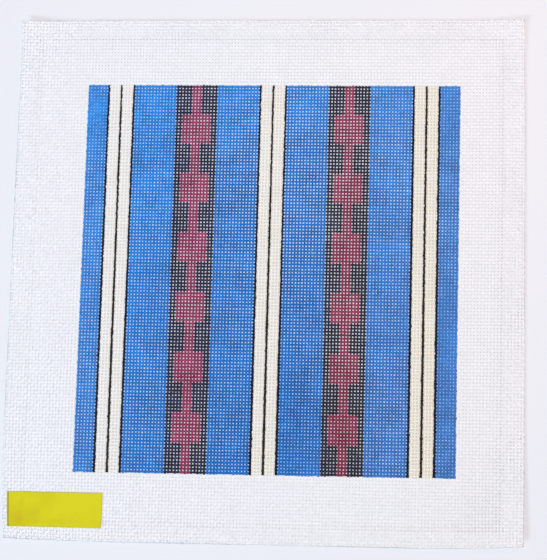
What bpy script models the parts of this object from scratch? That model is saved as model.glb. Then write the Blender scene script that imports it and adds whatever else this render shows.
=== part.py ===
"""Needlepoint canvas panel, lying flat and face up.

A square of white cotton mesh with its four raw edges folded under as a hem. The field in its middle is
painted for stitching, its corners curl up a little, and a small paper label is stuck on the lower left
margin. Seen from above, +X runs to the right and +Y to the top edge. The origin is under the middle of
the panel, on the surface that it lies on.

The cloth is laid out by its own threads: a place on it is (u, v), counted in threads to the right and
downwards from the top left corner of the painted field.
"""

import math

import bmesh
import bpy

INCH = 0.0254

# The mesh.
THREADS_PER_INCH = 13
ROW_STRETCH = 1.035  # rows of holes lie this much wider apart than columns
PITCH = INCH / THREADS_PER_INCH
PITCH_ACROSS = PITCH / math.sqrt(ROW_STRETCH)
PITCH_DOWN = PITCH * math.sqrt(ROW_STRETCH)
LEAN = math.tan(math.radians(0.83))  # the cloth is pulled askew: lower rows lie further left

# The painted field and the bare margins around it, in threads.
FIELD = 117
MARGIN_LEFT = 22
MARGIN_RIGHT = 20
MARGIN_TOP = 20
MARGIN_BOTTOM = 20
LEFT = -MARGIN_LEFT
RIGHT = FIELD + MARGIN_RIGHT
TOP = -MARGIN_TOP
BOTTOM = FIELD + MARGIN_BOTTOM

# The cloth and its hem.
CLOTH_THICKNESS = 0.001
LAYER_GAP = 0.0003  # air between the cloth and the hem folded under it
FOLD_RADIUS = (CLOTH_THICKNESS + LAYER_GAP) / 2
FOLD_STEPS = 4
HEM = {"left": 5.0, "right": 6.0, "top": 4.7, "bottom": 4.1}  # widths, in threads
RAMP = 4.0  # threads over which the cloth comes down from its hem to the surface
RAMP_STEPS = 3
RIM_LIFT = 0.0006  # the margins rise this much from the painted field, which lies flat, to the outline
FIELD_CELLS = 10

# How far each folded edge strays outwards from its thread, in threads: steadily from its first end to
# its last, and more within TUCK_REACH of either end. Side edges run downwards, the others rightwards.
EDGE_DRIFT = {
    "left": {"first": 0.1, "last": 0.1, "tuck_first": -0.3, "tuck_last": -1.6},
    "right": {"first": 0.0, "last": 0.8, "tuck_first": -0.6, "tuck_last": -0.5},
    "top": {"first": 0.1, "last": 0.5, "tuck_first": -0.4, "tuck_last": -0.2},
    "bottom": {"first": 0.3, "last": 0.3, "tuck_first": -0.8, "tuck_last": -1.4},
}
TUCK_REACH = 36.0

# How high each corner curls, in metres, and how many threads the curl reaches along its two edges.
CURLS = {
    "top left": {"u": LEFT, "v": TOP, "height": 0.0027, "reach": 17.0},
    "top right": {"u": RIGHT, "v": TOP, "height": 0.0019, "reach": 20.0},
    "bottom right": {"u": RIGHT, "v": BOTTOM, "height": 0.0024, "reach": 44.0},
    "bottom left": {"u": LEFT, "v": BOTTOM, "height": 0.0008, "reach": 24.0},
}

# The label.
LABEL_WIDTH = 0.0575
LABEL_HEIGHT = 0.0200
LABEL_THICKNESS = 0.001
LABEL_GAP = 0.0003  # over the cloth
LABEL_LEFT = -20.4  # place of its top left corner, in threads
LABEL_TOP = 123.0
LABEL_CELLS_ACROSS = 15
LABEL_CELLS_DOWN = 5
LABEL_CURL = 0.0008  # how far its lower right corner stands off

COTTON = (0.86, 0.86, 0.88, 1.0)
YELLOW_PAPER = (0.62, 0.56, 0.04, 1.0)


def smooth(t):
    """Rise gently from 0 to 1 as t does."""
    t = min(max(t, 0.0), 1.0)
    return t * t * (3 - 2 * t)


def drift(edge, along):
    """Return how far an edge strays outwards, in threads, at a share of its length."""
    row = EDGE_DRIFT[edge]
    length = BOTTOM - TOP
    near_first = max(0.0, 1 - along * length / TUCK_REACH) ** 2
    near_last = max(0.0, 1 - (1 - along) * length / TUCK_REACH) ** 2
    steady = row["first"] + (row["last"] - row["first"]) * along
    return steady + row["tuck_first"] * near_first + row["tuck_last"] * near_last


def laid_flat(u, v):
    """Return x and y of a place on the cloth, from the middle of the painted field.

    The margins follow the straying edges, and the painted field doesn't.
    """
    down = (v - TOP) / (BOTTOM - TOP)
    across = (u - LEFT) / (RIGHT - LEFT)
    to_left = max(0.0, -u / MARGIN_LEFT) ** 2
    to_right = max(0.0, (u - FIELD) / MARGIN_RIGHT) ** 2
    to_top = max(0.0, -v / MARGIN_TOP) ** 2
    to_bottom = max(0.0, (v - FIELD) / MARGIN_BOTTOM) ** 2
    u_strayed = u - drift("left", down) * to_left + drift("right", down) * to_right
    v_strayed = v - drift("top", across) * to_top + drift("bottom", across) * to_bottom
    y = (FIELD / 2 - v_strayed) * PITCH_DOWN
    return (u_strayed - FIELD / 2) * PITCH_ACROSS + LEAN * y, y


def middle_of_outline(samples=200):
    """Return x and y of the middle of the panel's box, from the middle of the painted field."""
    shares = [step / samples for step in range(samples + 1)]
    outline = [laid_flat(u, TOP + (BOTTOM - TOP) * share) for u in (LEFT, RIGHT) for share in shares]
    outline += [laid_flat(LEFT + (RIGHT - LEFT) * share, v) for v in (TOP, BOTTOM) for share in shares]
    xs = [x for x, _ in outline]
    ys = [y for _, y in outline]
    return (min(xs) + max(xs)) / 2, (min(ys) + max(ys)) / 2


MIDDLE_X, MIDDLE_Y = middle_of_outline()


def curl(u, v):
    """Return how high the curled corners lift a place on the cloth."""
    height = 0.0
    for corner in CURLS.values():
        away = abs(u - corner["u"]) + abs(v - corner["v"])
        height += corner["height"] * max(0.0, 1 - away / corner["reach"]) ** 2
    return height


def cloth_height(u, v):
    """Return the height of the middle of the cloth, which its hem holds up along the edges."""
    past_hem = min(
        u - LEFT - HEM["left"],
        RIGHT - HEM["right"] - u,
        v - TOP - HEM["top"],
        BOTTOM - HEM["bottom"] - v,
    )
    over_hem = 2 * FOLD_RADIUS * smooth(1 - past_hem / RAMP)
    past_sides = max(-u / MARGIN_LEFT, (u - FIELD) / MARGIN_RIGHT)
    past_ends = max(-v / MARGIN_TOP, (v - FIELD) / MARGIN_BOTTOM)
    rise = RIM_LIFT * max(past_sides, past_ends, 0.0) ** 2
    return CLOTH_THICKNESS / 2 + over_hem + rise + curl(u, v)


def lay_down(bm):
    """Turn a mesh drawn as (u, v, height over the cloth's middle) into its place on the surface."""
    for vert in bm.verts:
        u, v, over = vert.co
        x, y = laid_flat(u, v)
        vert.co = (x - MIDDLE_X, y - MIDDLE_Y, cloth_height(u, v) + over)
    bmesh.ops.recalc_face_normals(bm, faces=bm.faces)


def stations(low, high, low_hem, high_hem, turn):
    """Return the grid lines over the flat of the cloth, closer together where it bends."""
    ramp = [RAMP * step / RAMP_STEPS for step in range(RAMP_STEPS + 1)]
    before = [low + turn] + [low + low_hem + step for step in ramp]
    after = [high - high_hem - step for step in reversed(ramp)] + [high - turn]
    field = [FIELD * cell / FIELD_CELLS for cell in range(FIELD_CELLS + 1)]
    return [*before, (before[-1] + field[0]) / 2, *field, (field[-1] + after[0]) / 2, *after]


def fold_rim(bm, rim, depths, drop):
    """Extrude the rim of the cloth to new depths inside the outline, in threads, and return it."""
    made = bmesh.ops.extrude_edge_only(bm, edges=rim)["geom"]
    verts = [item for item in made if isinstance(item, bmesh.types.BMVert)]
    lows = [min(vert.co[axis] for vert in verts) for axis in (0, 1)]
    highs = [max(vert.co[axis] for vert in verts) for axis in (0, 1)]
    for vert in verts:
        across, down = [(vert.co[axis] - lows[axis]) / (highs[axis] - lows[axis]) for axis in (0, 1)]
        left, right = LEFT + depths["left"], RIGHT - depths["right"]
        top, bottom = TOP + depths["top"], BOTTOM - depths["bottom"]
        vert.co = (left + (right - left) * across, top + (bottom - top) * down, -drop)
    return [item for item in made if isinstance(item, bmesh.types.BMEdge)]


def make_canvas():
    """Model the cloth as its middle surface, fold its rim under, and give it its thickness."""
    turn = (CLOTH_THICKNESS / 2 + FOLD_RADIUS) / PITCH
    columns = stations(LEFT, RIGHT, HEM["left"], HEM["right"], turn)
    rows = stations(TOP, BOTTOM, HEM["top"], HEM["bottom"], turn)
    bm = bmesh.new()
    bmesh.ops.create_grid(bm, x_segments=len(columns) - 1, y_segments=len(rows) - 1, size=0.5)
    for vert in bm.verts:
        vert.co.x = columns[round((vert.co.x + 0.5) * (len(columns) - 1))]
        vert.co.y = rows[round((vert.co.y + 0.5) * (len(rows) - 1))]
    rim = [edge for edge in bm.edges if edge.is_boundary]
    for step in range(1, FOLD_STEPS + 1):
        angle = math.pi * step / FOLD_STEPS
        depth = turn - FOLD_RADIUS * math.sin(angle) / PITCH
        rim = fold_rim(bm, rim, dict.fromkeys(HEM, depth), FOLD_RADIUS * (1 - math.cos(angle)))
    fold_rim(bm, rim, HEM, 2 * FOLD_RADIUS)
    return sheet_object("canvas", bm, CLOTH_THICKNESS, material("Cotton mesh", COTTON, 0.85))


def make_label():
    """Model the label as a thin plate that follows the cloth, its lower right corner standing off."""
    bm = bmesh.new()
    bmesh.ops.create_grid(bm, x_segments=LABEL_CELLS_ACROSS, y_segments=LABEL_CELLS_DOWN, size=0.5)
    over_cloth = CLOTH_THICKNESS / 2 + LABEL_GAP + LABEL_THICKNESS / 2
    for vert in bm.verts:
        across, down = vert.co.x + 0.5, vert.co.y + 0.5
        u = LABEL_LEFT + across * LABEL_WIDTH / PITCH_ACROSS
        v = LABEL_TOP + down * LABEL_HEIGHT / PITCH_DOWN
        # The label stays straight where the cloth under it is drawn in.
        v -= drift("bottom", (u - LEFT) / (RIGHT - LEFT)) * ((v - FIELD) / MARGIN_BOTTOM) ** 2
        vert.co = (u, v, over_cloth + LABEL_CURL * (across * down) ** 3)
    return sheet_object("label", bm, LABEL_THICKNESS, material("Yellow paper", YELLOW_PAPER, 0.55))


def sheet_object(name, bm, thickness, finish):
    """Lay a drawn surface down, and make it an object with a thickness to both of its sides."""
    lay_down(bm)
    mesh = bpy.data.meshes.new(name)
    bm.to_mesh(mesh)
    bm.free()
    mesh.materials.append(finish)
    sheet = bpy.data.objects.new(name, mesh)
    bpy.context.collection.objects.link(sheet)
    solidify = sheet.modifiers.new("Thickness", "SOLIDIFY")
    solidify.thickness = thickness
    solidify.offset = 0.0
    solidify.use_even_offset = True
    return sheet


def material(name, color, roughness):
    """Return a plain material of the given colour and roughness."""
    made = bpy.data.materials.new(name)
    made.use_nodes = True
    shader = made.node_tree.nodes["Principled BSDF"]
    shader.inputs["Base Color"].default_value = color
    shader.inputs["Roughness"].default_value = roughness
    made.diffuse_color = color
    return made


def main():
    """Clear the scene and make the panel."""
    for old in list(bpy.data.objects):
        bpy.data.objects.remove(old, do_unlink=True)
    make_canvas()
    make_label()


main()
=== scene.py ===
"""Needlepoint canvas panel: its looks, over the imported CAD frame.

The cloth is a plain weave of single cotton threads, 13 to the inch, and every thread is modelled. Two
strands over and under each other are drawn once, repeated over the unfolded cloth, cut to a mitre at
the corners, folded under as a hem, and laid down where the CAD canvas lies. A material paints the
threads by their number, from a chart of the design.

A place on the cloth is (u, v), counted in threads to the right and downwards from the top left corner
of the painted field. Before the cloth is laid down, a mesh is drawn as (u, -v, height over the cloth's
middle). Everything else is in metres, +X to the design's right, +Y to its top edge and +Z upwards.
"""

import math

import bmesh
import bpy
import numpy as np
from mathutils import Matrix, Vector


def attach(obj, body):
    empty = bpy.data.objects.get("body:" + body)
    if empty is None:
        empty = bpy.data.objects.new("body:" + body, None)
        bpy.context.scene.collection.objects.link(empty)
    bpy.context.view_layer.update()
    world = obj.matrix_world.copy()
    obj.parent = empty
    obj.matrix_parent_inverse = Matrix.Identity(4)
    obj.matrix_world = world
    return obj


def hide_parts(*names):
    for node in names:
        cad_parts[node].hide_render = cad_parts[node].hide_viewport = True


bl_info = {
    "name": "Needlepoint canvas panel",
    "version": (1, 0, 0),
    "blender": (4, 5, 0),
    "location": "3D View > Sidebar > Needlepoint",
    "description": "Weaves, paints and lays out a needlepoint canvas panel with a paper label",
    "category": "Add Mesh",
}

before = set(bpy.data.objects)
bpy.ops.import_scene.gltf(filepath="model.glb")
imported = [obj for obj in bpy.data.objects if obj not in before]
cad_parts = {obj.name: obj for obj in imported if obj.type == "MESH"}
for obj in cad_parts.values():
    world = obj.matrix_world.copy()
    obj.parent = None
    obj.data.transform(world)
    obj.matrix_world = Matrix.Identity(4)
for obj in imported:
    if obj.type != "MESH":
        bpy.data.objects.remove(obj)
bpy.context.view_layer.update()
BODY = "root"
CANVAS_NODE = "canvas"
LABEL_NODE = "label"
COTTON_FINISH = "Painted cotton mesh"
PAPER_FINISH = "Yellow coated paper"
BAKE_MAP = "OFBake"

INCH = 0.0254
TURN = 2 * math.pi

# The mesh.
THREADS_PER_INCH = 13
ROW_STRETCH = 1.035  # rows of holes lie this much wider apart than columns
PITCH = INCH / THREADS_PER_INCH
PITCH_ACROSS = PITCH / math.sqrt(ROW_STRETCH)
PITCH_DOWN = PITCH * math.sqrt(ROW_STRETCH)
LEAN = math.tan(math.radians(0.83))  # the cloth is pulled askew: lower rows lie further left

# The painted field and the bare margins around it, in threads.
FIELD = 117
MARGIN_LEFT = 22
MARGIN_RIGHT = 20
MARGIN_TOP = 20
MARGIN_BOTTOM = 20
LEFT = -MARGIN_LEFT
RIGHT = FIELD + MARGIN_RIGHT
TOP = -MARGIN_TOP
BOTTOM = FIELD + MARGIN_BOTTOM

# The cloth and its hem. The woven cloth is thinner than the CAD sheet, which is never under 1 mm.
CLOTH_THICKNESS = 0.00052
LAYER_GAP = 0.00006  # air between the cloth and the hem folded under it
FOLD_RADIUS = (CLOTH_THICKNESS + LAYER_GAP) / 2
HEM = {"left": 5.0, "right": 6.0, "top": 4.7, "bottom": 4.1}  # widths, in threads
RAMP = 2.0  # threads over which the cloth comes down from its hem to the surface
RIM_LIFT = 0.0001  # the margins rise this much from the painted field, which lies flat, to the outline

# How far each folded edge strays outwards from its thread, in threads: steadily from its first end to
# its last, and more within TUCK_REACH of either end. Side edges run downwards, the others rightwards.
EDGE_DRIFT = {
    "left": {"first": 0.1, "last": 0.1, "tuck_first": -0.3, "tuck_last": -1.6},
    "right": {"first": 0.0, "last": 0.8, "tuck_first": -0.6, "tuck_last": -0.5},
    "top": {"first": 0.1, "last": 0.5, "tuck_first": -0.4, "tuck_last": -0.2},
    "bottom": {"first": 0.3, "last": 0.3, "tuck_first": -0.8, "tuck_last": -1.4},
}
TUCK_REACH = 36.0

# How high each corner curls, and how many threads the curl reaches along its two edges.
CURLS = {
    "top left": {"u": LEFT, "v": TOP, "height": 0.0027, "reach": 17.0},
    "top right": {"u": RIGHT, "v": TOP, "height": 0.0019, "reach": 20.0},
    "bottom right": {"u": RIGHT, "v": BOTTOM, "height": 0.0024, "reach": 44.0},
    "bottom left": {"u": LEFT, "v": BOTTOM, "height": 0.0008, "reach": 24.0},
}

# The hem's threads slip out of step with those that lie over them, by so many threads and a wobble.
HEM_SLIP = {"left": 0.34, "right": 0.24, "top": 0.22, "bottom": 0.34}
HEM_SLIP_WOBBLE = 0.08
HEM_SLIP_PERIOD = 41.0
SIDE_HEM_SHARE = 0.3  # the side hems slip this much along their edges, as a share of that across them

# The threads of the cut piece, before its edges are folded under. Each strip of them is one mesh.
FIRST_COLUMN = -27
FIRST_ROW = -25
COLUMNS_IN_STRIPS = {"warp_left": 58, "warp_middle": 56, "warp_right": 56}
ROWS_IN_STRIPS = {"weft_upper": 56, "weft_middle": 56, "weft_lower": 54}
COLUMNS = sum(COLUMNS_IN_STRIPS.values())
ROWS = sum(ROWS_IN_STRIPS.values())

# One strand's path: a ring of points on each shoulder of every crossing.
STRAND_SIDES = 4
SHOULDER = 0.25  # from the middle of a crossing, in threads
CRIMP = 0.00013  # how far a strand rises and dips
WEAVE_REPEAT = 2
MERGE_WITHIN = 0.0001  # in threads

# Unevenness of the threads: sums of slow waves along each, their phases drawn from a seed.
SEED = 13
WAVE_PERIODS = (4.3, 17.0, 61.0)

# Thick paint fills the holes in part, so its threads are broader, by a share of their width.
SWOLLEN_BY = {"margin": 0.06, "cream": 0.12, "blue": 0.08, "band": -0.06}

# Patches where paint or size has filled more of the holes, or less: their middles and how far they
# reach, in threads.
PATCHES = (
    {"u": 62, "v": 28, "reach_u": 36, "reach_v": 46, "share": -0.15},
    {"u": 86, "v": 16, "reach_u": 14, "reach_v": 18, "share": -0.05},
    {"u": 97, "v": 22, "reach_u": 10, "reach_v": 18, "share": -0.07},
    {"u": 12, "v": 42, "reach_u": 13, "reach_v": 13, "share": -0.07},
    {"u": 10, "v": 66, "reach_u": 12, "reach_v": 12, "share": 0.07},
    {"u": 3, "v": 9, "reach_u": 9, "reach_v": 16, "share": 0.24},
    {"u": 66, "v": 102, "reach_u": 22, "reach_v": 32, "share": 0.14},
    {"u": 83, "v": 104, "reach_u": 13, "reach_v": 24, "share": 0.06},
    {"u": 36, "v": 90, "reach_u": 13, "reach_v": 22, "share": 0.09},
    {"u": 104, "v": 70, "reach_u": 10, "reach_v": 14, "share": 0.12},
    {"u": 114, "v": 86, "reach_u": 9, "reach_v": 60, "share": 0.26},
    {"u": 114, "v": 12, "reach_u": 9, "reach_v": 40, "share": 0.16},
    {"u": -14, "v": 58, "reach_u": 18, "reach_v": 150, "share": 0.43},
    {"u": 58, "v": 130, "reach_u": 150, "reach_v": 26, "share": 0.20},
    {"u": 62, "v": -12, "reach_u": 110, "reach_v": 20, "share": -0.03},
    {"u": 130, "v": 50, "reach_u": 20, "reach_v": 110, "share": -0.05},
)

# The label.
LABEL_WIDTH = 0.0575
LABEL_HEIGHT = 0.0200
LABEL_LEFT = -20.4  # place of its top left corner, in threads
LABEL_TOP = 123.0
LABEL_CURL = 0.0008  # how far its lower right corner stands off
LABEL_OVER_CLOTH = 0.00018
LABEL_CELLS_ACROSS = 92
LABEL_CELLS_DOWN = 32
WEAVE_PRINT = 0.00005  # how far the weave under the paper shows as relief in it
STAIN = {"across": 3.2, "down": 7.8, "reach": 2.45}  # from the label's top left corner, in threads
# painted shade: a dark line along a crease near the label's left end
CREASE = {"start": 0.25, "end": 0.65}  # from the label's left end, in threads
CREASE_SHADE_STRENGTH = 0.7

# The design: threads from the middle column, in a repeat that mirrors itself. Half of it is a black
# line, a cream stripe, another line, a wide blue stripe and half of a band of stems and blocks.
HALF_REPEAT = 24
SIDE_LINE = 4.0
BAND_HALF_WIDTH = 6.5
BLOCK_HALF_WIDTH = 4.5
STEM_HALF_WIDTH = 1.5
BLOCK_ROWS = 9
LINE_HALF_WIDTH = 0.29
PAINT_WANDER = 0.16  # how far the paint's edges stray, in threads

# Cloudy patterns in the finishes, with their Scale as the number of clouds to a thread.
NOISES = {
    "wander": {"Scale": 0.75, "Detail": 1.0, "Roughness": 0.5},
    "clouds": {"Scale": 0.045, "Detail": 2.0, "Roughness": 0.5},
    "patches": {"Scale": 0.15, "Detail": 4.0, "Roughness": 0.6},
    "hues": {"Scale": 0.23, "Detail": 3.0, "Roughness": 0.6},
    "grain": {"Scale": 2.2, "Detail": 2.0, "Roughness": 0.5},
    "fibres": {"Scale": 9.0, "Detail": 2.0, "Roughness": 0.5},
    "paper clouds": {"Scale": 0.12, "Detail": 3.0, "Roughness": 0.5},
    "paper fibres": {"Scale": 3.0, "Detail": 3.0, "Roughness": 0.5},
}

# How the finishes change from place to place. A change follows a sum of values, each times its number:
# places in threads, a strand's own section from -1 to 1, cloudy patterns from about -1 to 1, and how near
# the label's stain is, which is 1 in its middle. It is 0 where that sum is low, and its most where high.
CHANGES = {
    "heavier lines": {"follows": {"u": 0.3, "v": 1.0}, "low": 0.0, "high": 150.0, "most": 0.14},
    # partly painted shade: the blue greys towards the lower right, where less light falls, and partly cloudy
    # patches of duller paint
    "dull blue patches and shade": {
        "follows": {"u": 0.6, "v": 0.8, "clouds": 55.0, "patches": 55.0},
        "low": 8.0,
        "high": 145.0,
        "most": 1.0,
    },
    "violet": {"follows": {"hues": 1.0}, "low": 0.1, "high": 1.3, "most": 1.0},
    "chalky right": {"follows": {"u": 1.0}, "low": 62.0, "high": 112.0, "most": 0.22},
    "chalky left": {"follows": {"u": 1.0, "v": -0.1}, "low": 8.0, "high": 2.0, "most": 0.11},
    "central": {"follows": {"from_middle": 1.0}, "low": 46.0, "high": 18.0, "most": 0.5},
    "below the top": {"follows": {"v": 1.0}, "low": 4.0, "high": 25.0, "most": 1.0},
    "above the bottom": {"follows": {"v": 1.0}, "low": 118.0, "high": 98.0, "most": 1.0},
    "pale blue": {"follows": {"hues": 1.0}, "low": -0.1, "high": -1.5, "most": 0.5},
    # painted light: pale blue on each blue thread's edges, for the bluish light around the holes
    "pale rim light": {"follows": {"from_axis": 1.0}, "low": 0.4, "high": 1.0, "most": 0.7},
    # painted shade: beige on each cream thread's edges, where they dip into the shaded holes
    "beige rim shade": {"follows": {"from_axis": 1.0}, "low": 0.4, "high": 1.0, "most": 0.4},
    # painted light: the paint turns warmer towards the lower right, for the warmer light there, in cloudy
    # patches of hue
    "warm": {"follows": {"u": 1.0, "v": 0.25, "hues": 40.0}, "low": -10.0, "high": 150.0, "most": 1.0},
    "red": {"follows": {"hues": 1.0}, "low": -0.1, "high": -1.5, "most": 0.6},
    # painted light: bare cotton turns from bluish on the left to warm on the right, for the cooler and warmer
    # light falling there
    "warm light on cotton": {"follows": {"u": 1.0, "v": 0.3}, "low": LEFT, "high": RIGHT + 20.0, "most": 1.0},
    "soaked": {"follows": {"top": 1.0}, "low": -1.6, "high": -0.7, "most": 1.0},
    "bare specks": {"follows": {"grain": 1.0}, "low": 0.5, "high": 1.8, "most": 0.25},
    # painted shade: in the upper right margins the warps lie in the shade of the wefts over them
    "warp shade": {"follows": {"u": 1.0, "v": -1.0}, "low": -80.0, "high": 80.0, "most": 0.05},
    # painted shade: bare cotton darkens towards the bottom, where less light falls
    "bottom shade": {"follows": {"v": 1.0}, "low": TOP, "high": BOTTOM, "most": 0.04},
    # the paper is olive in cloudy patches, more towards the lower left
    "olive patches": {
        "follows": {"clouds": 0.8, "across": -0.03, "down": 0.04},
        "low": -0.5,
        "high": 1.2,
        "most": 1.0,
    },
    "stain": {"follows": {"near_stain": 1.0, "clouds": 0.4}, "low": 0.0, "high": 1.2, "most": 0.6},
}
# painted shade: the beige on the cream threads' edges is stronger where the painted light is warm
WARM_RIM_SHADE = 1.25  # the cream's beige rim is stronger by this share where the paint is warm
TONES = {  # how much the tone varies with two of the patterns
    "grain": {"everywhere": 0.03, "in dark paint": 0.22},
    "patches": {"everywhere": 0.02, "in dark paint": 0.32},
}
# painted light: bare cotton over the hem at the top and on the right is lighter by this share
HEM_PAINTED_LIGHT = 0.03  # the hem shines through at the top and on the right

SHEEN_LEVEL = 0.12  # cotton, dry paint and paper reflect little at a slant
GLOW_WEIGHT = 0.85  # light passes through the threads
GLOW_DEPTH = 0.0005
COTTON_ROUGHNESS = 0.9
PAINT_SMOOTHER_BY = 0.25
PAPER_ROUGHNESS = 0.5
FLOOR_ROUGHNESS = 0.9
PLIES_TO_A_THREAD = 3.0  # twists of the cotton in one pitch, which lie at a slant
PLY_SLANT = 0.6
COTTON_RELIEF = 0.00006
COTTON_RELIEF_SHARES = {"ply": 0.3, "fibres": 0.2}
PAPER_RELIEF = 0.00004
PAPER_RELIEF_SHARE = 0.5

# The camera looks nearly straight down, from over the lower right of the panel's middle. Its place is
# measured from the middle of the painted field.
CAMERA_PLACE = (0.01755, -0.03085, 0.47526)
CAMERA_TURN = (3.561, 1.690, 0.735)  # degrees
LONG_SIDE = 560  # of the photo, in pixels
VIEW_DISTANCE = 800  # from the eye to the photo, in its pixels
SENSOR = 36.0

# The floor, the sky and the lamps, whose azimuths run from +X towards +Y: the key light stands at the
# lower left.
FLOOR_SIZE = 4.0
FLOOR_GAP = 0.00005
SKY_COLOUR = (0.97, 0.97, 1.0)
LAMPS = {
    "overhead": {
        "distance": 1.8,
        "size": 0.7,
        "elevation": 78.0,
        "azimuth": 60.0,
        "colour": (0.915, 0.925, 1.0),
    },
    "key": {
        "distance": 2.0,
        "size": 0.6,
        "elevation": 30.0,
        "azimuth": 224.0,
        "colour": (0.67, 0.845, 1.0),
    },
    "fill": {
        "distance": 0.6,
        "size": 0.5,
        "elevation": 45.0,
        "azimuth": 30.0,
        "colour": (1.0, 0.35, 0.10),
    },
}


def smooth(t):
    """Rise gently from 0 to 1 as t does."""
    t = np.clip(t, 0.0, 1.0)
    return t * t * (3 - 2 * t)


def drift(edge, along):
    """Return how far an edge strays outwards, in threads, at a share of its length."""
    row = EDGE_DRIFT[edge]
    length = BOTTOM - TOP
    near_first = np.maximum(0.0, 1 - along * length / TUCK_REACH) ** 2
    near_last = np.maximum(0.0, 1 - (1 - along) * length / TUCK_REACH) ** 2
    steady = row["first"] + (row["last"] - row["first"]) * along
    return steady + row["tuck_first"] * near_first + row["tuck_last"] * near_last


def laid_flat(u, v):
    """Return x and y of places on the cloth, from the middle of the painted field."""
    down = (v - TOP) / (BOTTOM - TOP)
    across = (u - LEFT) / (RIGHT - LEFT)
    to_left = np.maximum(0.0, -u / MARGIN_LEFT) ** 2
    to_right = np.maximum(0.0, (u - FIELD) / MARGIN_RIGHT) ** 2
    to_top = np.maximum(0.0, -v / MARGIN_TOP) ** 2
    to_bottom = np.maximum(0.0, (v - FIELD) / MARGIN_BOTTOM) ** 2
    u_strayed = u - drift("left", down) * to_left + drift("right", down) * to_right
    v_strayed = v - drift("top", across) * to_top + drift("bottom", across) * to_bottom
    y = (FIELD / 2 - v_strayed) * PITCH_DOWN
    return (u_strayed - FIELD / 2) * PITCH_ACROSS + LEAN * y, y


def middle_of_outline(samples=200):
    """Return x and y of the middle of the panel's box, from the middle of the painted field."""
    shares = np.linspace(0.0, 1.0, samples + 1)
    us = LEFT + (RIGHT - LEFT) * shares
    vs = TOP + (BOTTOM - TOP) * shares
    sides = [laid_flat(np.full_like(vs, u), vs) for u in (LEFT, RIGHT)]
    ends = [laid_flat(us, np.full_like(us, v)) for v in (TOP, BOTTOM)]
    xs, ys = np.concatenate(sides + ends, axis=1)
    return (xs.min() + xs.max()) / 2, (ys.min() + ys.max()) / 2


MIDDLE_X, MIDDLE_Y = middle_of_outline()


def cloth_height(u, v):
    """Return the height of the middle of the cloth, which its hem holds up along the edges."""
    past_sides_hem = np.minimum(u - LEFT - HEM["left"], RIGHT - HEM["right"] - u)
    past_ends_hem = np.minimum(v - TOP - HEM["top"], BOTTOM - HEM["bottom"] - v)
    past_hem = np.minimum(past_sides_hem, past_ends_hem) - max(HEM_SLIP.values()) - HEM_SLIP_WOBBLE
    over_hem = 2 * FOLD_RADIUS * smooth(1 - past_hem / RAMP)
    past_sides = np.maximum(-u / MARGIN_LEFT, (u - FIELD) / MARGIN_RIGHT)
    past_ends = np.maximum(-v / MARGIN_TOP, (v - FIELD) / MARGIN_BOTTOM)
    rise = RIM_LIFT * np.maximum(np.maximum(past_sides, past_ends), 0.0) ** 2
    height = CLOTH_THICKNESS / 2 + over_hem + rise
    for corner in CURLS.values():
        away = np.abs(u - corner["u"]) + np.abs(v - corner["v"])
        height += corner["height"] * np.maximum(0.0, 1 - away / corner["reach"]) ** 2
    return height


def folded(place, low, high, pitch):
    """Fold places on one axis under at both edges.

    Return where each then lies, in threads, the edge's direction (-1 or 1) and the angle that the cloth
    has turned there, from 0 where it lies face up to pi where it lies face down in the hem.
    """
    side = np.where(place - low < high - place, -1.0, 1.0)
    inside = np.minimum(place - low, high - place) * pitch
    from_rim = inside - CLOTH_THICKNESS / 2 + (math.pi / 2 - 1) * FOLD_RADIUS
    angle = np.clip(math.pi / 2 - from_rim / FOLD_RADIUS, 0.0, math.pi)
    past_bend = np.maximum(np.abs(from_rim) - math.pi / 2 * FOLD_RADIUS, 0.0)
    depth = CLOTH_THICKNESS / 2 + FOLD_RADIUS * (1 - np.sin(angle)) + past_bend
    edge = np.where(side < 0, low, high)
    return edge - side * depth / pitch, side, angle


def hem_slip(along, tucked, side, first, last):
    """Return how far the hems of two opposite edges have slipped, in threads, where cloth is tucked."""
    slip = np.where(side < 0, HEM_SLIP[first], HEM_SLIP[last])
    wobble = HEM_SLIP_WOBBLE * np.sin(TURN * along / HEM_SLIP_PERIOD)
    return (slip + wobble) * smooth(tucked)


def swollen(u, v):
    """Return how much broader the threads are at places on the cloth, as a share of their width.

    Each change from one stripe to the next takes the width of one thread.
    """
    from_middle = np.abs((u - FIELD / 2 + HALF_REPEAT) % (2 * HALF_REPEAT) - HALF_REPEAT)
    from_band = HALF_REPEAT - from_middle
    is_blue = smooth(from_middle - SIDE_LINE)
    is_band = smooth(BAND_HALF_WIDTH + 0.5 - from_band)
    stripes = SWOLLEN_BY["cream"] + (SWOLLEN_BY["blue"] - SWOLLEN_BY["cream"]) * is_blue
    stripes += (SWOLLEN_BY["band"] - SWOLLEN_BY["blue"]) * is_band
    inside = smooth(np.minimum(np.minimum(u, FIELD - u), np.minimum(v, FIELD - v)) + 0.5)
    share = SWOLLEN_BY["margin"] + (stripes - SWOLLEN_BY["margin"]) * inside
    for patch in PATCHES:
        away = np.hypot((u - patch["u"]) / patch["reach_u"], (v - patch["v"]) / patch["reach_v"])
        share += patch["share"] * smooth(1 - away)
    return share


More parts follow.
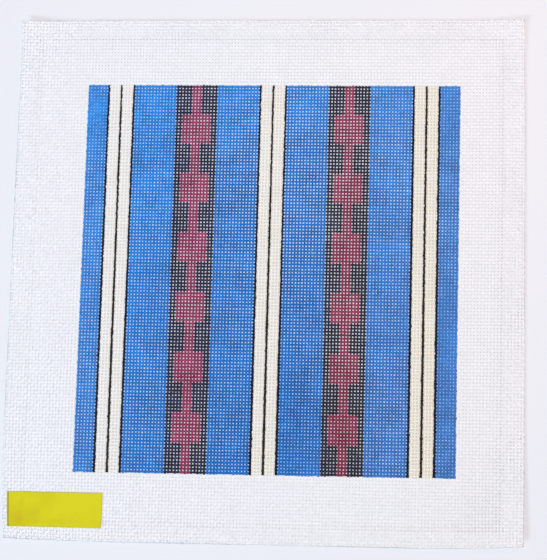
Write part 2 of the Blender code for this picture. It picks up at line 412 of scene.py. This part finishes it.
def lay_down(u, v, over):
    """Return x, y and z of places on the unfolded cloth, each so far over the cloth's middle."""
    u_lies, u_side, u_angle = folded(u, LEFT, RIGHT, PITCH_ACROSS)
    v_lies, v_side, v_angle = folded(v, TOP, BOTTOM, PITCH_DOWN)
    u_tucked = 2 * u_angle / math.pi - 1
    v_tucked = 2 * v_angle / math.pi - 1
    side_slip = hem_slip(v, u_tucked, u_side, "left", "right")
    end_slip = hem_slip(u, v_tucked, v_side, "top", "bottom")
    u_lies = u_lies - u_side * side_slip + end_slip
    v_lies = v_lies - v_side * end_slip + side_slip * SIDE_HEM_SHARE
    u_lies += u_side * np.sin(u_angle) * over / PITCH_ACROSS
    v_lies += v_side * np.sin(v_angle) * over / PITCH_DOWN
    x, y = laid_flat(u_lies, v_lies)
    drop = FOLD_RADIUS * np.minimum(2 - np.cos(u_angle) - np.cos(v_angle), 2.0)
    z = cloth_height(u_lies, v_lies) - drop + np.cos(u_angle) * np.cos(v_angle) * over
    return np.stack([x - MIDDLE_X, y - MIDDLE_Y, z], axis=1)


def colour(name, description, default):
    """Return the definition of a colour, for a group of settings."""
    return bpy.props.FloatVectorProperty(
        name=name,
        description=description,
        default=default,
        size=3,
        subtype="COLOR",
    )


class ClothSettings(bpy.types.PropertyGroup):
    """Sizes and colours of the woven cloth."""

    thread_width: bpy.props.FloatProperty(
        name="Thread width",
        description="Width of one thread of the mesh",
        default=0.00115,
        subtype="DISTANCE",
    )
    thread_thickness: bpy.props.FloatProperty(
        name="Thread thickness",
        description="Thickness of one thread, which lies nearly flat",
        default=0.00026,
        subtype="DISTANCE",
    )
    sway: bpy.props.FloatProperty(
        name="Sway",
        description="How far a thread strays sideways from its place, as a share of the pitch",
        default=0.05,
    )
    slub: bpy.props.FloatProperty(
        name="Slub",
        description="How much a thread's width varies, as a share of it",
        default=0.16,
    )
    # Painted light: bare cotton is bluish on the left and warm on the right, for the cooler and warmer light
    # falling there.
    cotton: colour("Cotton", "Bare threads on the left side", (0.955, 0.975, 1.0))
    warm_lit_cotton: colour("Warm cotton", "Bare threads on the right side", (0.985, 0.957, 0.932))


class PaintSettings(bpy.types.PropertyGroup):
    """Colours of the painted design."""

    blue: colour("Blue", "Wide stripes", (0.022, 0.246, 0.69))
    # Dull blue: painted shade towards the lower right, and duller paint in cloudy patches and in the middle.
    dull_blue: colour(
        "Dull blue",
        "Wide stripes in the middle and towards the lower right, where the paint is greyer",
        (0.017, 0.112, 0.38),
    )
    chalky_blue: colour(
        "Chalky blue",
        "What dulls the wide stripes on the right side and at the left edge",
        (0.26, 0.33, 0.50),
    )
    violet: colour("Violet", "Patches of the wide stripes where they are redder", (0.062, 0.110, 0.48))
    # Pale blue: thinner paint in cloudy patches, and painted bluish light along each thread's edges around
    # the holes.
    pale_blue: colour(
        "Pale blue",
        "Wide stripes where the paint is thinner, in patches and along each thread's edges",
        (0.030, 0.385, 0.84),
    )
    # Painted light: cream, charcoal and pink on the left side turn to yellow cream, umber and maroon towards
    # the lower right, for the warmer light falling there.
    cream: colour("Cream", "Narrow stripes on the left side", (0.97, 0.955, 0.945))
    yellow_cream: colour("Yellow cream", "Narrow stripes towards the lower right", (0.95, 0.90, 0.77))
    # Beige: painted shade on the cream threads' edges, around the holes.
    beige: colour("Beige", "Narrow stripes along each thread's edges", (0.68, 0.54, 0.30))
    black: colour("Black", "Lines between blue and cream", (0.010, 0.011, 0.026))
    brown_black: colour("Brown black", "Lines between two cream stripes", (0.030, 0.017, 0.010))
    charcoal: colour(
        "Charcoal",
        "Ground of the patterned bands on the left side",
        (0.018, 0.026, 0.085),
    )
    umber: colour(
        "Umber",
        "Ground of the patterned bands towards the lower right",
        (0.027, 0.027, 0.030),
    )
    maroon: colour("Maroon", "Stems and blocks towards the lower right", (0.225, 0.031, 0.058))
    red: colour("Red", "Stems and blocks where the paint is redder", (0.40, 0.050, 0.085))
    pink: colour("Pink", "Stems and blocks on the left side", (0.310, 0.047, 0.150))


class LabelSettings(bpy.types.PropertyGroup):
    """Sizes and colours of the paper label."""

    thickness: bpy.props.FloatProperty(
        name="Thickness",
        description="Thickness of the paper",
        default=0.0002,
        subtype="DISTANCE",
    )
    yellow: colour("Yellow", "Coated paper", (0.62, 0.57, 0.008))
    # Olive: the paper in cloudy patches, more towards the lower left.
    olive: colour("Olive", "Paper where it is rubbed", (0.50, 0.42, 0.006))
    brown: colour("Brown", "Stain near the lower left corner", (0.53, 0.41, 0.010))
    # Crease: painted shade along a crease near the left end.
    crease: colour("Crease", "Crease along the left end", (0.16, 0.16, 0.06))


class StageSettings(bpy.types.PropertyGroup):
    """The floor and the lights."""

    floor: colour("Floor", "Pale surface that the panel lies on", (0.738, 0.742, 0.748))
    ambient: bpy.props.FloatProperty(
        name="Ambient light",
        description="Strength of the light from all sides",
        default=0.27,
    )
    overhead: bpy.props.FloatProperty(
        name="Overhead light",
        description="Power of the soft light straight over the panel",
        default=24.8,
        subtype="POWER",
    )
    key: bpy.props.FloatProperty(
        name="Key light",
        description="Power of the soft light at the lower left",
        default=19.5,
        subtype="POWER",
    )
    fill: bpy.props.FloatProperty(
        name="Fill light",
        description="Power of the faint warm light at the upper right",
        default=0.48,
        subtype="POWER",
    )


class Wire:
    """One output socket of a material's nodes, on which Python's operators add Math nodes."""

    def __init__(self, finish, socket):
        self.finish = finish
        self.socket = socket

    def __add__(self, other):
        return self.finish.math("ADD", self, other)

    def __radd__(self, other):
        return self.finish.math("ADD", other, self)

    def __sub__(self, other):
        return self.finish.math("SUBTRACT", self, other)

    def __rsub__(self, other):
        return self.finish.math("SUBTRACT", other, self)

    def __mul__(self, other):
        return self.finish.math("MULTIPLY", self, other)

    def __rmul__(self, other):
        return self.finish.math("MULTIPLY", other, self)

    def __truediv__(self, other):
        return self.finish.math("DIVIDE", self, other)

    def __rtruediv__(self, other):
        return self.finish.math("DIVIDE", other, self)

    def __gt__(self, other):
        return self.finish.math("GREATER_THAN", self, other)

    def __lt__(self, other):
        return self.finish.math("LESS_THAN", self, other)

    def __or__(self, other):
        return self.finish.math("MAXIMUM", self, other)

    def __ror__(self, other):
        return self.finish.math("MAXIMUM", other, self)

    def __abs__(self):
        return self.finish.math("ABSOLUTE", self)

    def floor(self):
        """Round down."""
        return self.finish.math("FLOOR", self)

    def sine(self):
        """Return the sine of an angle in radians."""
        return self.finish.math("SINE", self)

    def zigzag(self, reach):
        """Run up to reach and back down to 0, over and over."""
        return self.finish.math("PINGPONG", self, reach)


class Finish:
    """A material under construction: its Principled shader and the nodes that feed it."""

    def __init__(self, name):
        self.material = bpy.data.materials.new(name)
        self.material.use_nodes = True
        self.tree = self.material.node_tree
        self.wires = {}
        self.shade({"Specular IOR Level": SHEEN_LEVEL})

    def add(self, kind, settings=None, inputs=None, output=0):
        """Add a node with its settings, then its sockets' values or links.

        Return the output asked for, or all of them in a list where that is None.
        """
        node = self.tree.nodes.new(kind)
        for name, value in (settings or {}).items():
            setattr(node, name, value)
        for name, value in (inputs or {}).items():
            self.feed(node.inputs[name], value)
        if output is None:
            return [Wire(self, socket) for socket in node.outputs]
        return Wire(self, node.outputs[output])

    def feed(self, socket, value):
        """Give a socket a link or a value."""
        if isinstance(value, Wire):
            self.tree.links.new(value.socket, socket)
        else:
            socket.default_value = value

    def shade(self, inputs):
        """Feed the Principled shader."""
        for name, value in inputs.items():
            self.feed(self.tree.nodes["Principled BSDF"].inputs[name], value)

    def glow_through(self):
        """Let light pass through the material, as through cotton."""
        self.shade({
            "Subsurface Weight": GLOW_WEIGHT,
            "Subsurface Scale": GLOW_DEPTH,
            "Subsurface Radius": (1.0, 1.0, 1.0),
        })

    def math(self, operation, *values):
        """Add a Math node on wires or numbers."""
        return self.add("ShaderNodeMath", {"operation": operation}, dict(enumerate(values)))

    def parts(self, name):
        """Return the three numbers of a mesh attribute, and the attribute itself."""
        vector = self.add("ShaderNodeAttribute", {"attribute_name": name}, output="Vector")
        return [*self.add("ShaderNodeSeparateXYZ", {}, {0: vector}, output=None), vector]

    def noise(self, place, name):
        """Return one of the cloudy patterns, which runs from about -1 to 1."""
        raw = self.add("ShaderNodeTexNoise", {}, {"Vector": place, **NOISES[name]}, output="Fac")
        return raw * 4.0 - 2.0  # the node's own values keep to about 0.25 to 0.75

    def change(self, name):
        """Return how far one of the changes has gone, from what it follows among the wires."""
        row = CHANGES[name]
        first, *others = (self.wires[key] * weight for key, weight in row["follows"].items())
        low_and_high = {"From Min": row["low"], "From Max": row["high"]}
        inputs = {"Value": sum(others, first), **low_and_high, "To Max": row["most"]}
        return self.add("ShaderNodeMapRange", {}, inputs)

    def mix(self, share, first, second, blend="MIX"):
        """Mix two colours. The node's sockets for them are numbers 6 and 7, and its output is number 2."""
        settings = {"data_type": "RGBA", "blend_type": blend}
        colours = [c if isinstance(c, Wire) else (*c, 1.0) for c in (first, second)]
        return self.add("ShaderNodeMix", settings, {0: share, 6: colours[0], 7: colours[1]}, output=2)

    def bump(self, height, distance):
        """Raise the surface by a height from 0 to 1, times a distance."""
        return self.add("ShaderNodeBump", {}, {"Height": height, "Distance": distance, "Strength": 1.0})


def painted_blue(finish, paint):
    """Return the colour of the wide stripes."""
    # painted shade towards the lower right, with cloudy patches of duller paint
    blue = finish.mix(finish.change("dull blue patches and shade"), paint.blue, paint.dull_blue)
    blue = finish.mix(finish.change("violet"), blue, paint.violet)
    is_chalky = finish.change("chalky right") + finish.change("chalky left")
    blue = finish.mix(is_chalky, blue, paint.chalky_blue)
    is_inside = finish.change("below the top") * finish.change("above the bottom")
    blue = finish.mix(finish.change("central") * is_inside, blue, paint.dull_blue)
    # thinner paint in patches, and painted bluish light on the threads' edges
    return finish.mix(finish.change("pale blue") | finish.change("pale rim light"), blue, paint.pale_blue)


def painted_design(finish, paint, u, v):
    """Return the colour of the paint at a place in the design, and where it is cream."""
    # painted light: each paint is cooler on the left and warmer towards the lower right, for the light
    # falling there
    warm = finish.change("warm")
    cream = finish.mix(warm, paint.cream, paint.yellow_cream)
    # painted shade on the cream threads' edges around the holes
    cream = finish.mix(finish.change("beige rim shade") * (1.0 + warm * WARM_RIM_SHADE), cream, paint.beige)
    ground = finish.mix(warm, paint.charcoal, paint.umber)
    maroon = finish.mix(warm, paint.pink, paint.maroon)
    maroon = finish.mix(finish.change("red"), maroon, paint.red)

    from_middle = (u - FIELD / 2).zigzag(HALF_REPEAT)
    from_band = HALF_REPEAT - from_middle
    line_reach = finish.change("heavier lines") + LINE_HALF_WIDTH
    is_middle_line = from_middle < line_reach
    is_line = is_middle_line | (abs(from_middle - SIDE_LINE) < line_reach)
    is_cream = from_middle < SIDE_LINE
    is_band = from_band < BAND_HALF_WIDTH
    is_block_row = (v / BLOCK_ROWS).floor().zigzag(1.0)
    is_block = is_block_row * (from_band < BLOCK_HALF_WIDTH)
    is_maroon = is_band * (is_block | (from_band < STEM_HALF_WIDTH))

    black = finish.mix(is_middle_line, paint.black, paint.brown_black)
    design = finish.mix(is_cream, painted_blue(finish, paint), cream)
    design = finish.mix(is_band, design, ground)
    design = finish.mix(is_maroon, design, maroon)
    return finish.mix(is_line, design, black), is_cream


def painted_cotton(cloth, paint):
    """Return the material of the threads: cotton, painted by the number of row and column, with light and
    shade painted on in places.
    """
    finish = Finish(COTTON_FINISH)
    finish.glow_through()
    u, v, is_warp, place = finish.parts("laid")
    lateral, top, along, _ = finish.parts("section")
    finish.wires = {name: finish.noise(place, name) for name in ("clouds", "patches", "hues", "grain")}
    finish.wires |= {"u": u, "v": v, "top": top, "from_middle": abs(u - FIELD / 2), "from_axis": abs(lateral)}

    wander = finish.noise(place, "wander") * PAINT_WANDER
    u_painted = u + wander
    v_painted = v - wander
    design, is_cream = painted_design(finish, paint, u_painted, v_painted)
    is_between_sides = (u_painted > 0.0) * (u_painted < FIELD)
    is_painted = is_between_sides * (v_painted > 0.0) * (v_painted < FIELD)
    cover = is_painted * finish.change("soaked") * (1.0 - finish.change("bare specks"))
    # painted light: cooler light on the bare cotton at the left, warmer light at the right
    cotton = finish.mix(finish.change("warm light on cotton"), cloth.cotton, cloth.warm_lit_cotton)
    base = finish.mix(cover, cotton, design)

    is_dark = is_painted * (1.0 - is_cream)
    tone = 1.0
    for name, row in TONES.items():
        tone = tone + finish.wires[name] * (row["everywhere"] + is_dark * row["in dark paint"])
    # painted light: the hem at the top and on the right is lightened, against the painted shade
    is_hem = (u > RIGHT - HEM["right"]) | (v < TOP + HEM["top"])
    # painted shade: on the warps where the wefts shade them, and on bare cotton towards the bottom
    darker = is_warp * finish.change("warp shade") + finish.change("bottom shade")
    tone = tone - (1.0 - is_painted) * (darker - is_hem * HEM_PAINTED_LIGHT)
    grey = finish.add("ShaderNodeCombineColor", {}, {0: tone, 1: tone, 2: tone})

    ply = ((along * PLIES_TO_A_THREAD + lateral * PLY_SLANT) * TURN).sine()
    fibres = finish.noise(place, "fibres")
    relief = ply * COTTON_RELIEF_SHARES["ply"] + fibres * COTTON_RELIEF_SHARES["fibres"]
    finish.shade({
        "Base Color": finish.mix(1.0, base, grey, blend="MULTIPLY"),
        "Roughness": COTTON_ROUGHNESS - cover * PAINT_SMOOTHER_BY,
        "Normal": finish.bump(relief, COTTON_RELIEF),
    })
    return finish.material


def yellow_paper(label):
    """Return the material of the label: coated paper, olive in cloudy patches, stained, and with a painted
    shade line along a crease.
    """
    finish = Finish(PAPER_FINISH)
    across, down, _, place = finish.parts("laid")
    off_across = across - STAIN["across"]
    off_down = down - STAIN["down"]
    near_stain = 1.0 - (off_across * off_across + off_down * off_down) / STAIN["reach"] ** 2
    finish.wires = {"across": across, "down": down, "near_stain": near_stain}
    finish.wires["clouds"] = finish.noise(place, "paper clouds")
    # olive in cloudy patches, more towards the lower left
    base = finish.mix(finish.change("olive patches"), label.yellow, label.olive)
    base = finish.mix(finish.change("stain"), base, label.brown)
    # painted shade along the crease
    on_crease_shade = (across > CREASE["start"]) * (across < CREASE["end"])
    fibres = finish.noise(place, "paper fibres")
    finish.shade({
        "Base Color": finish.mix(on_crease_shade * CREASE_SHADE_STRENGTH, base, label.crease),
        "Roughness": PAPER_ROUGHNESS,
        "Normal": finish.bump(fibres * PAPER_RELIEF_SHARE, PAPER_RELIEF),
    })
    return finish.material


def pale_floor(stage):
    """Return the material of the floor."""
    finish = Finish("Pale floor")
    finish.shade({"Base Color": (*stage.floor, 1.0), "Roughness": FLOOR_ROUGHNESS})
    return finish.material


def once(name, make, *settings):
    """Return the material of that name, made now if it isn't there yet."""
    return bpy.data.materials.get(name) or make(*settings)


def new_object(name, content):
    """Return a new object in the scene, at its origin: a mesh, a light or a camera."""
    made = bpy.data.objects.new(name, content)
    bpy.context.scene.collection.objects.link(made)
    return made


def new_grid(name, cells_across, cells_down, size):
    """Return a flat square mesh of so many cells."""
    bm = bmesh.new()
    bmesh.ops.create_grid(bm, x_segments=cells_across, y_segments=cells_down, size=size / 2)
    mesh = bpy.data.meshes.new(name)
    bm.to_mesh(mesh)
    bm.free()
    return mesh


def read(mesh, attribute):
    """Return a point attribute of a mesh as rows of three numbers."""
    numbers = np.empty(3 * len(mesh.vertices), np.float32)
    mesh.attributes[attribute].data.foreach_get("vector", numbers)
    return numbers.reshape(-1, 3).astype(float)


def write(mesh, attribute, rows):
    """Write rows of three numbers to a point attribute of a mesh."""
    layer = mesh.attributes.get(attribute) or mesh.attributes.new(attribute, "FLOAT_VECTOR", "POINT")
    layer.data.foreach_set("vector", np.asarray(rows, np.float32).ravel())


def draw_strand(bm, section, lane, rises, cloth):
    """Draw one strand to the right, over one crossing strand and under the next, or under and over."""
    crimp = CRIMP if rises else -CRIMP
    heights = (crimp, crimp, -crimp, -crimp, crimp)
    place = Matrix.Translation((SHOULDER, -lane, heights[0]))
    half = (1.0, cloth.thread_width / PITCH / 2, cloth.thread_thickness / 2)
    upright = Matrix.Rotation(math.pi / 2, 4, "Y") @ Matrix.Rotation(math.pi / STRAND_SIDES, 4, "Z")
    corner = 1 / math.cos(math.pi / STRAND_SIDES)
    ring = bmesh.ops.create_circle(bm, segments=STRAND_SIDES, radius=corner, matrix=upright)["verts"]
    for vert in ring:
        vert[section] = (vert.co.y, vert.co.z, 0.0)
    bmesh.ops.transform(bm, matrix=place @ Matrix.Diagonal((*half, 1.0)), verts=ring)
    edges = list({edge for vert in ring for edge in vert.link_edges})
    for before, after in zip(heights, heights[1:]):
        made = bmesh.ops.extrude_edge_only(bm, edges=edges)["geom"]
        verts = [item for item in made if isinstance(item, bmesh.types.BMVert)]
        edges = [item for item in made if isinstance(item, bmesh.types.BMEdge)]
        bmesh.ops.translate(bm, vec=(2 * SHOULDER, 0.0, after - before), verts=verts)


def draw_repeat(cloth, downwards):
    """Return the mesh of two neighbouring strands of the weave, to the right or downwards."""
    bm = bmesh.new()
    section = bm.verts.layers.float_vector.new("section")
    draw_strand(bm, section, 0.5, True, cloth)
    draw_strand(bm, section, 1.5, False, cloth)
    if downwards:
        quarter = Matrix.Rotation(-math.pi / 2, 4, "Z")
        bmesh.ops.transform(bm, matrix=Matrix.Translation((WEAVE_REPEAT, 0, 0)) @ quarter, verts=bm.verts)
    bmesh.ops.recalc_face_normals(bm, faces=bm.faces)
    mesh = bpy.data.meshes.new("weave repeat")
    bm.to_mesh(mesh)
    bm.free()
    return mesh


def weave(repeat, columns, rows, downwards):
    """Return the mesh of the repeat, along its strands and then from strand to strand."""
    pattern = new_object("weave", repeat)
    to_the_right = {"count": columns // WEAVE_REPEAT, "constant_offset_displace": (WEAVE_REPEAT, 0, 0)}
    down = {"count": rows // WEAVE_REPEAT, "constant_offset_displace": (0, -WEAVE_REPEAT, 0)}
    for step, run in enumerate((down, to_the_right) if downwards else (to_the_right, down)):
        array = pattern.modifiers.new("Repeat", "ARRAY")
        array.use_relative_offset = False
        array.use_constant_offset = True
        array.constant_offset_displace = run["constant_offset_displace"]
        array.count = run["count"]
        array.use_merge_vertices = step == 0
        array.merge_threshold = MERGE_WITHIN
    graph = bpy.context.evaluated_depsgraph_get()
    woven = bpy.data.meshes.new_from_object(pattern.evaluated_get(graph))
    bpy.data.objects.remove(pattern)
    bpy.data.meshes.remove(repeat)
    return woven


def strips_for_baking(mesh, along, strand, strands, length):
    """Lay the strands side by side in a UV map, each opened along its side."""
    section = read(mesh, "section")
    turns = np.round(np.arctan2(section[:, 1], section[:, 0]) / TURN * STRAND_SIDES - 0.5) % STRAND_SIDES
    corners = np.empty(len(mesh.loops), np.int32)
    mesh.loops.foreach_get("vertex_index", corners)
    around = turns[corners].reshape(-1, STRAND_SIDES)
    least = around.min(axis=1, keepdims=True)
    most = around.max(axis=1, keepdims=True)
    is_closing = (least == 0) & (most == STRAND_SIDES - 1)
    around = np.where(is_closing & (around == 0), STRAND_SIDES, around).ravel()
    uv = np.stack([along[corners] / length, (strand[corners] + around / STRAND_SIDES) / strands], axis=1)
    layer = mesh.uv_layers.new(name=BAKE_MAP)
    layer.uv.foreach_set("vector", uv.astype(np.float32).ravel())


def mitre_corners(mesh):
    """Cut the corners of the unfolded cloth off, and draw the cut ends of the strands to a point."""
    bm = bmesh.new()
    bm.from_mesh(mesh)
    for u, right in ((LEFT, -1), (RIGHT, 1)):
        for v, up in ((TOP, 1), (BOTTOM, -1)):
            whole = [*bm.verts, *bm.edges, *bm.faces]
            plane = {"plane_co": (u, -v, 0), "plane_no": (right, up, 0)}
            bmesh.ops.bisect_plane(bm, geom=whole, dist=MERGE_WITHIN, clear_outer=True, **plane)
    ends = [edge for edge in bm.edges if edge.is_boundary]
    bmesh.ops.collapse(bm, edges=ends, uvs=False)
    bm.to_mesh(mesh)
    bm.free()


def woven_strip(first, count, downwards, cloth):
    """Return the mesh of a strip of strands, unfolded and with its corners cut, and its flat size."""
    columns, rows = (count, ROWS) if downwards else (COLUMNS, count)
    mesh = weave(draw_repeat(cloth, downwards), columns, rows, downwards)
    place = read(mesh, "position")
    if downwards:
        strips_for_baking(mesh, -place[:, 1], np.floor(place[:, 0]), count, rows + 1)
    else:
        strips_for_baking(mesh, place[:, 0], np.floor(-place[:, 1]), count, columns + 1)
    first_column, first_row = (first, FIRST_ROW) if downwards else (FIRST_COLUMN, first)
    mesh.transform(Matrix.Translation((first_column, -first_row, 0)))
    mitre_corners(mesh)
    return mesh, (columns * PITCH_ACROSS, rows * PITCH_DOWN)


def slow_waves(draw, strand, strands, along):
    """Return a number from about -1 to 1 that changes slowly along each strand."""
    total = np.zeros_like(along)
    for period in WAVE_PERIODS:
        phase = draw.uniform(0.0, TURN, strands)
        total += np.sin(TURN * along / period + phase[strand])
    return total / len(WAVE_PERIODS)


def lay_strip(name, first, count, downwards, cloth, draw):
    """Weave a strip of strands, make it uneven, fold it and lay it down."""
    mesh, flat = woven_strip(first, count, downwards, cloth)
    place = read(mesh, "position")
    u, v, over = place[:, 0], -place[:, 1], place[:, 2]
    write(mesh, "laid", np.stack([u, v, np.full_like(u, downwards)], axis=1))
    along, across = (v, u) if downwards else (u, v)
    section = read(mesh, "section")
    section[:, 2] = along
    write(mesh, "section", section)
    strand = np.clip(np.floor(across).astype(int) - first, 0, count - 1)
    middle = first + strand + 0.5
    sway = cloth.sway * slow_waves(draw, strand, count, along)
    width = 1 + cloth.slub * slow_waves(draw, strand, count, along) + swollen(u, v)
    across = middle + (across - middle) * width + sway
    u, v = (across, along) if downwards else (along, across)
    write(mesh, "position", lay_down(u, v, over))
    mesh.shade_smooth()
    mesh.update()

    strip = new_object(name, mesh)
    mesh.name = name
    mesh.materials.append(once(COTTON_FINISH, painted_cotton, cloth, bpy.context.scene.design_paint))
    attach(strip, BODY)
    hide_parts(CANVAS_NODE)
    flat[0] * flat[1] * cloth.thread_width / PITCH


class LayWeft(bpy.types.Operator):
    """Lay the threads that run from side to side"""

    bl_idname = "needlepoint.lay_weft"
    bl_label = "Lay the threads across"

    def execute(self, context):
        draw = np.random.default_rng(SEED)
        first = FIRST_ROW
        for name, count in ROWS_IN_STRIPS.items():
            lay_strip(name, first, count, False, context.scene.canvas_cloth, draw)
            first += count
        return {"FINISHED"}


class LayWarp(bpy.types.Operator):
    """Lay the threads that run from top to bottom"""

    bl_idname = "needlepoint.lay_warp"
    bl_label = "Lay the threads down"

    def execute(self, context):
        draw = np.random.default_rng(SEED + 1)
        first = FIRST_COLUMN
        for name, count in COLUMNS_IN_STRIPS.items():
            lay_strip(name, first, count, True, context.scene.canvas_cloth, draw)
            first += count
        return {"FINISHED"}


class StickLabel(bpy.types.Operator):
    """Stick the paper label on the lower left margin"""

    bl_idname = "needlepoint.stick_label"
    bl_label = "Stick the label on"

    def execute(self, context):
        label = context.scene.paper_label
        mesh = new_grid("paper_label", LABEL_CELLS_ACROSS, LABEL_CELLS_DOWN, 1.0)
        place = read(mesh, "position")
        across = place[:, 0] + 0.5
        down = 0.5 - place[:, 1]
        u = LABEL_LEFT + across * LABEL_WIDTH / PITCH_ACROSS
        v = LABEL_TOP + down * LABEL_HEIGHT / PITCH_DOWN
        # It stays straight where the cloth under it is drawn in.
        v -= drift("bottom", (u - LEFT) / (RIGHT - LEFT)) * ((v - FIELD) / MARGIN_BOTTOM) ** 2
        over = CLOTH_THICKNESS / 2 + LABEL_OVER_CLOTH + LABEL_CURL * (across * down) ** 3
        relief = WEAVE_PRINT * np.sin(TURN * u) * np.sin(TURN * v)
        write(mesh, "laid", np.stack([u - LABEL_LEFT, v - LABEL_TOP, over], axis=1))
        write(mesh, "position", lay_down(u, v, over + relief))
        mesh.shade_smooth()
        mesh.update()
        sticker = new_object("paper_label", mesh)
        mesh.materials.append(once(PAPER_FINISH, yellow_paper, label))
        thickness = sticker.modifiers.new("Thickness", "SOLIDIFY")
        thickness.thickness = label.thickness
        thickness.offset = 0.0
        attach(sticker, BODY)
        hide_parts(LABEL_NODE)
        return {"FINISHED"}


def lay_floor(stage):
    """Lay the floor just under the panel."""
    mesh = new_grid("floor", 1, 1, FLOOR_SIZE)
    mesh.transform(Matrix.Translation((0, 0, -FLOOR_GAP)))
    mesh.materials.append(pale_floor(stage))
    new_object("floor", mesh)


def light_up(scene, stage):
    """Light the scene with a pale sky and the lamps."""
    world = bpy.data.worlds.new("Soft daylight")
    world.use_nodes = True
    sky = world.node_tree.nodes["Background"]
    sky.inputs["Color"].default_value = (*SKY_COLOUR, 1.0)
    sky.inputs["Strength"].default_value = stage.ambient
    scene.world = world
    for name, row in LAMPS.items():
        light = bpy.data.lights.new(name, "AREA")
        light.shape = "DISK"
        light.size = row["size"]
        light.energy = getattr(stage, name)
        light.color = row["colour"]
        lamp = new_object(name, light)
        elevation = math.radians(row["elevation"])
        azimuth = math.radians(row["azimuth"])
        level = math.cos(elevation)
        towards = Vector((level * math.cos(azimuth), level * math.sin(azimuth), math.sin(elevation)))
        lamp.location = towards * row["distance"]
        lamp.rotation_mode = "QUATERNION"
        lamp.rotation_quaternion = towards.to_track_quat("Z", "Y")


def aim_camera(scene):
    """Put the camera where the photo was taken from."""
    lens = bpy.data.cameras.new("camera")
    lens.sensor_width = SENSOR
    lens.lens = SENSOR * VIEW_DISTANCE / LONG_SIDE
    camera = new_object("camera", lens)
    camera.location = Vector(CAMERA_PLACE) - Vector((MIDDLE_X, MIDDLE_Y, 0.0))
    camera.rotation_euler = [math.radians(angle) for angle in CAMERA_TURN]
    scene.camera = camera


class SetStage(bpy.types.Operator):
    """Set up the floor, the lights and the camera"""

    bl_idname = "needlepoint.set_stage"
    bl_label = "Set the stage"

    def execute(self, context):
        stage = context.scene.panel_stage
        lay_floor(stage)
        light_up(context.scene, stage)
        aim_camera(context.scene)
        context.scene.view_settings.view_transform = "Standard"
        context.scene.view_settings.look = "None"
        return {"FINISHED"}


class SidebarPanel(bpy.types.Panel):
    """The settings, and the steps of making the panel in their order"""

    bl_idname = "VIEW3D_PT_needlepoint"
    bl_label = "Needlepoint canvas panel"
    bl_space_type = "VIEW_3D"
    bl_region_type = "UI"
    bl_category = "Needlepoint"

    def draw(self, context):
        for settings in SETTINGS:
            group = getattr(context.scene, settings)
            for name in group.__annotations__:
                self.layout.prop(group, name)
        for step in STEPS:
            self.layout.operator(step.bl_idname)


SETTINGS = {
    "canvas_cloth": ClothSettings,
    "design_paint": PaintSettings,
    "paper_label": LabelSettings,
    "panel_stage": StageSettings,
}
STEPS = (LayWeft, LayWarp, StickLabel, SetStage)


def register():
    for cls in (*SETTINGS.values(), *STEPS, SidebarPanel):
        bpy.utils.register_class(cls)
    for name, group in SETTINGS.items():
        setattr(bpy.types.Scene, name, bpy.props.PointerProperty(type=group))


def unregister():
    for name in SETTINGS:
        delattr(bpy.types.Scene, name)
    for cls in (SidebarPanel, *reversed(STEPS), *reversed(SETTINGS.values())):
        bpy.utils.unregister_class(cls)


def main():
    """Make every piece and the stage."""
    register()
    bpy.ops.needlepoint.lay_weft()
    bpy.ops.needlepoint.lay_warp()
    bpy.ops.needlepoint.stick_label()
    bpy.ops.needlepoint.set_stage()


if __name__ == "__main__":
    main()
